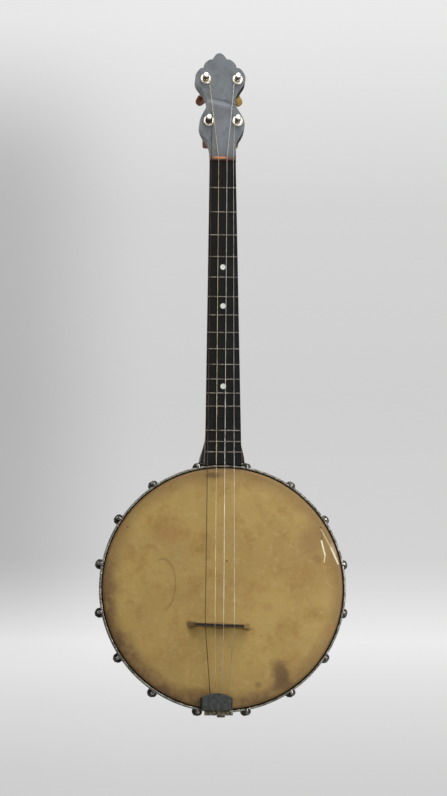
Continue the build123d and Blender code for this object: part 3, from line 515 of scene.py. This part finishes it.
def head_piece():
    """The calfskin: a nearly flat sheet, a rounded shoulder and a skirt behind the hoop."""
    low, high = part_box("head_skin")
    ring_low, ring_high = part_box("tone_ring")
    skin = ring_low.y - low.y
    rod = (ring_high.y - ring_low.y) / 2
    ring_at = ring_high.x - rod
    ring_y = (ring_high.y + ring_low.y) / 2
    lip_r = high.x
    profile = []
    flat_rings = 120
    for k in range(1, flat_rings + 1):
        profile.append((ring_at * k / flat_rings, low.y))
    bend = 8
    for k in range(1, bend + 1):
        angle = pi / 2 * k / bend
        profile.append((ring_at + (rod + skin) * sin(angle), ring_y - (rod + skin) * cos(angle)))
    for k in range(1, 4):
        profile.append((ring_at + rod + skin, ring_y + (high.y - skin - ring_y) * k / 3))
    profile.append((lip_r, high.y - skin))
    profile.append((lip_r, high.y))
    profile.append((ring_at + rod + 0.05 * MM, high.y))
    for k in range(bend + 1):
        angle = pi / 2 * (1 - k / bend)
        profile.append((ring_at + rod * sin(angle), ring_y - rod * cos(angle)))
    for k in range(flat_rings - 1, 0, -1):
        profile.append((ring_at * k / flat_rings, low.y + skin))
    foot_low, foot_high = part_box("bridge")
    foot = (foot_low + foot_high) / 2
    around = 360
    points = []
    for radius, y in profile:
        for j in range(around):
            angle = 2 * pi * j / around
            x, z = radius * sin(angle), radius * cos(angle)
            points.append(Vector((x, y + ripple(x, z, radius, ring_at, foot), z)))
    front = len(points)
    points.append(Vector((0, low.y, 0)))
    points.append(Vector((0, low.y + skin, 0)))
    faces = []
    for k in range(len(profile) - 1):
        for j in range(around):
            a, b = k * around + j, k * around + (j + 1) % around
            faces.append((a, b, b + around, a + around))
    last = (len(profile) - 1) * around
    for j in range(around):
        faces.append((front, (j + 1) % around, j))
        faces.append((front + 1, last + j, last + (j + 1) % around))
    piece("head_calfskin", points, faces, head_material(), "banjo", "calfskin", "head_skin")


def ripple(x, z, radius, ring_at, foot):
    """Depth of the skin's slight waves: none round the bridge and none at the ring."""
    from_bridge = Vector((x - foot.x, z - foot.z)).length
    off_bridge = min(1.0, max(0.0, (from_bridge - FLAT_ROUND_BRIDGE) / (25 * MM)))
    inside = min(1.0, max(0.0, (ring_at - radius) / FLAT_BY_RING))
    wave = noise.noise(Vector((x * 16, 0.4, z * 16))) + 0.4 * noise.noise(Vector((x * 45, 2, z * 45)))
    return RIPPLE_DEEP * wave * off_bridge * inside


# ----------------------------------------------------------------- strings

def corner(node, z_low, z_high):
    """Middle of a string's vertices between two heights."""
    found = [v.co for v in nodes[node].data.vertices if z_low <= v.co.z <= z_high]
    middle = Vector((0, 0, 0))
    for k in range(3):
        values = [co[k] for co in found]
        middle[k] = (min(values) + max(values)) / 2
    return middle


def post(peg):
    """Origin on the headstock's face, axis, across direction and radius of a peg's post."""
    joint = next(j for j in frame["joints"] if j["name"] == "turn_" + peg)
    axis = Vector(joint["axis"]).normalized()
    centre = Vector(joint["pos_m"])
    low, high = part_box("peg_shaft_" + peg)
    radius = (high.x - low.x) / 2
    return centre, axis, Vector((1, 0, 0)), radius


def coil_range(peg, centre, axis):
    """Lowest and highest place of the CAD winding along the post."""
    heights = [(v.co - centre).dot(axis) for v in nodes["winding_" + peg].data.vertices]
    return min(heights), max(heights)


def string_pieces():
    """Strings as wound or plain wire, each with its coil of turns on its post."""
    metals = {
        "bass": string_material("string_dark", tint(92, 76, 60), tint(44, 34, 26), 0.42),
        "second": string_material("string_bronze", tint(222, 204, 164), tint(166, 142, 102), 0.42),
        "third": string_material("string_steel", tint(236, 232, 222), tint(190, 182, 164), 0.4),
        "treble": string_material("string_steel_thin", tint(222, 216, 202), tint(160, 150, 130), 0.4),
    }
    slots = dict(zip(STRING_NAMES, ("string_dark", "string_bronze", "string_steel", "string_steel")))
    bridge_low, bridge_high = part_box("bridge_strip")
    nut_low, nut_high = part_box("nut")
    for name, peg in zip(STRING_NAMES, PEG_NAMES):
        node = "string_" + name
        low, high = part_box(node)
        end = corner(node, low.z, low.z + 1.2 * MM)
        saddle = corner(node, bridge_low.z, bridge_high.z)
        near = [v.co for v in nodes[node].data.vertices if nut_low.z <= v.co.z <= nut_high.z]
        gauge = max(co.x for co in near) - min(co.x for co in near)
        at_nut = corner(node, nut_low.z, nut_high.z)
        centre, axis, across, post_r = post(peg)
        side = 1 if at_nut.x > centre.x else -1
        coil_low, coil_high = coil_range(peg, centre, axis)
        touch = centre + across * side * (post_r + gauge / 2) + axis * (coil_low + coil_high) / 2
        corners = [end, saddle, at_nut, touch]
        wound = name in ("bass", "second")
        path, radii = wire(corners, gauge / 2, wound)
        points, faces = tube(path, radii, 10 if wound else 12)
        piece("wire_" + name, points, faces, metals[name], "banjo", slots[name], node)
        path, radii = coil(centre, axis, across, side, post_r, gauge, coil_low, coil_high)
        points, faces = tube(path, radii, 10)
        piece("coil_" + peg, points, faces, metals[name], "peg_" + peg, slots[name],
              "winding_" + peg)


def wire(corners, radius, wound):
    """Path and radii of a taut string; a wound one swells and narrows with each turn."""
    step = radius * 0.45 if wound else 6 * MM
    path, radii = [], []
    for a, b in zip(corners, corners[1:]):
        count = max(1, round((b - a).length / step))
        for k in range(count):
            path.append(a.lerp(b, k / count))
            radii.append(radius * (1.0 if not wound or len(radii) % 2 else 0.86))
    path.append(corners[-1])
    radii.append(radius)
    return path, radii


def coil(centre, axis, across, side, post_r, gauge, low, high):
    """Turns of wire down a post, from the string's touching point."""
    other = axis.cross(across)
    start = (low + high) / 2
    per_turn = 48
    count = int(COIL_TURNS * per_turn)
    path, radii = [], []
    for k in range(count + 1):
        share = k / count
        angle = 2 * pi * COIL_TURNS * share
        level = start + (high - gauge / 2 - start) * sin(pi * min(1, share * 1.5) / 2)
        level -= (high - low - gauge) * max(0, share - 0.4) / 0.6
        out = post_r + gauge * (0.42 + 0.25 * sin(3.1 * share * pi) ** 2)
        reach = across * side * cos(angle) - other * side * sin(angle) * side
        path.append(centre + reach * out + axis * level)
        radii.append(gauge / 2)
    return path, radii


# ------------------------------------------------------------------ studio

def studio():
    """Pale floor far below, which only throws light back up, and soft lights."""
    half, level = 8.0, -1.0
    mesh = bpy.data.meshes.new("floor")
    mesh.from_pydata([(-half, -half, level), (half, -half, level), (half, half, level),
                      (-half, half, level)], [], [(0, 1, 2, 3)])
    floor = bpy.data.objects.new("floor", mesh)
    bpy.context.scene.collection.objects.link(floor)
    floor.visible_camera = False
    look = Look("floor_paint", tint(214, 214, 214), 0.8)
    look.paint(look.noise(2.0, 3), tint(222, 222, 221))
    mesh.materials.append(look.done())

    target = Vector((0, -0.06, 0.05))
    for name, towards, distance, size, power in (
        ("key", (0.70, -0.66, 0.12), 0.8, 0.4, 2.8),
        ("spark", (0.35, -0.80, 0.10), 1.5, 0.1, 3.0),
        ("front", (0.1, -0.8, 0.8), 2.2, 1.6, 23),
        ("top", (0.10, -0.28, 1.0), 2.4, 1.4, 24),
        ("left", (-1.0, -0.25, 0.15), 2.4, 1.4, 5),
        ("right", (1.0, -0.10, 0.20), 2.4, 1.2, 4),
        ("back", (-0.6, 1.0, 0.4), 2.4, 1.6, 10),
    ):
        light = bpy.data.lights.new(name, "AREA")
        light.shape = "SQUARE"
        light.size = size
        light.energy = power
        lamp = bpy.data.objects.new(name, light)
        lamp.location = target + Vector(towards).normalized() * distance
        lamp.visible_camera = False
        lamp.rotation_euler = (target - lamp.location).to_track_quat("-Z", "Y").to_euler()
        bpy.context.scene.collection.objects.link(lamp)


def surround():
    """World: for the eye, pale with a dimmer bass side; for the light, dimmer in front."""
    world = bpy.data.worlds.new("surround")
    bpy.context.scene.world = world
    world.use_nodes = True
    tree = world.node_tree
    tree.nodes.clear()
    place = tree.nodes.new("ShaderNodeTexCoord")
    split = tree.nodes.new("ShaderNodeSeparateXYZ")
    tree.links.new(place.outputs["Generated"], split.inputs[0])

    def shade(axis, stops, strength):
        """Background whose grey follows one coordinate of the direction."""
        spread = tree.nodes.new("ShaderNodeMapRange")
        spread.inputs["From Min"].default_value = -1
        tree.links.new(split.outputs[axis], spread.inputs["Value"])
        colours = tree.nodes.new("ShaderNodeValToRGB")
        while len(colours.color_ramp.elements) < len(stops):
            colours.color_ramp.elements.new(0.5)
        for element, (at, level) in zip(colours.color_ramp.elements, stops):
            element.position = (at + 1) / 2
            element.color = tint(level, level, level)
        tree.links.new(spread.outputs["Result"], colours.inputs["Fac"])
        back = tree.nodes.new("ShaderNodeBackground")
        back.inputs["Strength"].default_value = strength
        tree.links.new(colours.outputs["Color"], back.inputs["Color"])
        return back

    def ramp(axis, low, high, to_low, to_high):
        """Smooth step along one coordinate of the direction."""
        node = tree.nodes.new("ShaderNodeMapRange")
        node.interpolation_type = "SMOOTHSTEP"
        for name, value in (("From Min", low), ("From Max", high), ("To Min", to_low),
                            ("To Max", to_high)):
            node.inputs[name].default_value = value
        tree.links.new(split.outputs[axis], node.inputs["Value"])
        return node.outputs["Result"]

    def times(first, second):
        node = tree.nodes.new("ShaderNodeMath")
        node.operation = "MULTIPLY"
        tree.links.new(first, node.inputs[0])
        tree.links.new(second, node.inputs[1])
        return node.outputs[0]

    seen = shade("Z", ((-1, 200), (-0.035, 208), (-0.005, 222), (0.016, 237), (0.045, 211),
                       (0.107, 207), (0.18, 212), (0.25, 234)), 1.0)
    dim = times(ramp("X", -0.02, 0.045, 0.28, 0), ramp("Z", 0, 0.05, 0.1, 1))
    dim = times(dim, ramp("Z", 0.19, 0.25, 1, 0.1))
    level = tree.nodes.new("ShaderNodeMath")
    level.operation = "SUBTRACT"
    level.inputs[0].default_value = 1.0
    tree.links.new(dim, level.inputs[1])
    tree.links.new(level.outputs[0], seen.inputs["Strength"])
    lit = shade("Y", ((-1, 80), (-0.3, 90), (0.2, 130), (1, 150)), 0.5)
    choose = tree.nodes.new("ShaderNodeMixShader")
    path = tree.nodes.new("ShaderNodeLightPath")
    tree.links.new(path.outputs["Is Camera Ray"], choose.inputs[0])
    tree.links.new(lit.outputs[0], choose.inputs[1])
    tree.links.new(seen.outputs[0], choose.inputs[2])
    out = tree.nodes.new("ShaderNodeOutputWorld")
    tree.links.new(choose.outputs[0], out.inputs["Surface"])


def camera():
    """Camera level with the pot, looking up the neck a little from the bass side."""
    tilt, swing, roll = radians(6.2), radians(4.0), radians(-0.0784)
    distance = 3.0
    aim = Vector((0.00025, -0.062, 0.21662))
    ahead = Vector((sin(swing) * cos(tilt), cos(swing) * cos(tilt), sin(tilt)))
    right = Vector((cos(swing), -sin(swing), 0))
    up = right.cross(ahead)
    across = right * cos(roll) - up * sin(roll)
    above = right * sin(roll) + up * cos(roll)
    data = bpy.data.cameras.new("camera")
    data.sensor_width = 36
    data.lens = 118.80
    data.clip_end = 50
    made = bpy.data.objects.new("camera", data)
    spin = Matrix((across, above, -ahead)).transposed()
    made.matrix_world = Matrix.Translation(aim - ahead * distance) @ spin.to_4x4()
    bpy.context.scene.collection.objects.link(made)
    bpy.context.scene.camera = made


camera()
dress_pot()
dress_neck()
dress_bridge_and_tail()
dress_pegs()
head_piece()
string_pieces()
studio()
surround()
bpy.context.scene.view_settings.view_transform = "Standard"
